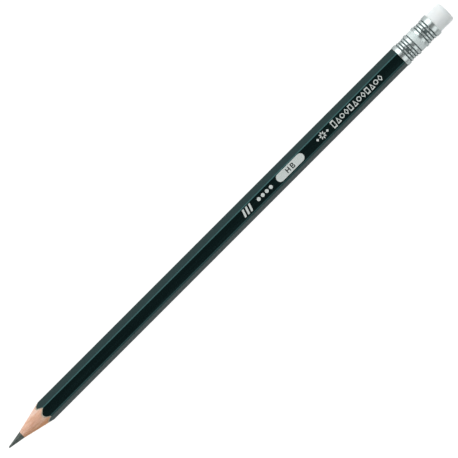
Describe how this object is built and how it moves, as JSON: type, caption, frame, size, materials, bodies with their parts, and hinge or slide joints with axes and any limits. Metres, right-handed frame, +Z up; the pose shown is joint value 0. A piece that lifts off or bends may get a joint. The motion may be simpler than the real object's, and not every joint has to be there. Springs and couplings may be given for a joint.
{
  "type": "graphite pencil",
  "caption": "Sharpened hexagonal wood-cased pencil, black lacquer, ribbed metal ferrule and white eraser.",
  "frame": {"origin": "middle of the pencil's length, on the plane that the ferrule rests on, straight below the axis", "axes": "+X along the pencil from the point to the eraser, +Z up through the imprinted flat, +Y to the left seen from the point"},
  "size_m": [0.19, 0.0076, 0.0076],
  "materials": {
    "wood": "matte",
    "graphite": "satin",
    "glue": "satin",
    "lacquer": "gloss",
    "aluminium": "polished",
    "vinyl": "matte",
    "foil": "satin"
  },
  "bodies": {
    "root": {"upper_slat": "wood", "lower_slat": "wood", "graphite_core": "graphite", "glue_film_left": "glue", "glue_film_right": "glue", "lacquer_coat": "lacquer", "ferrule": "aluminium", "eraser_plug": "vinyl"}
  },
  "joints": []
}
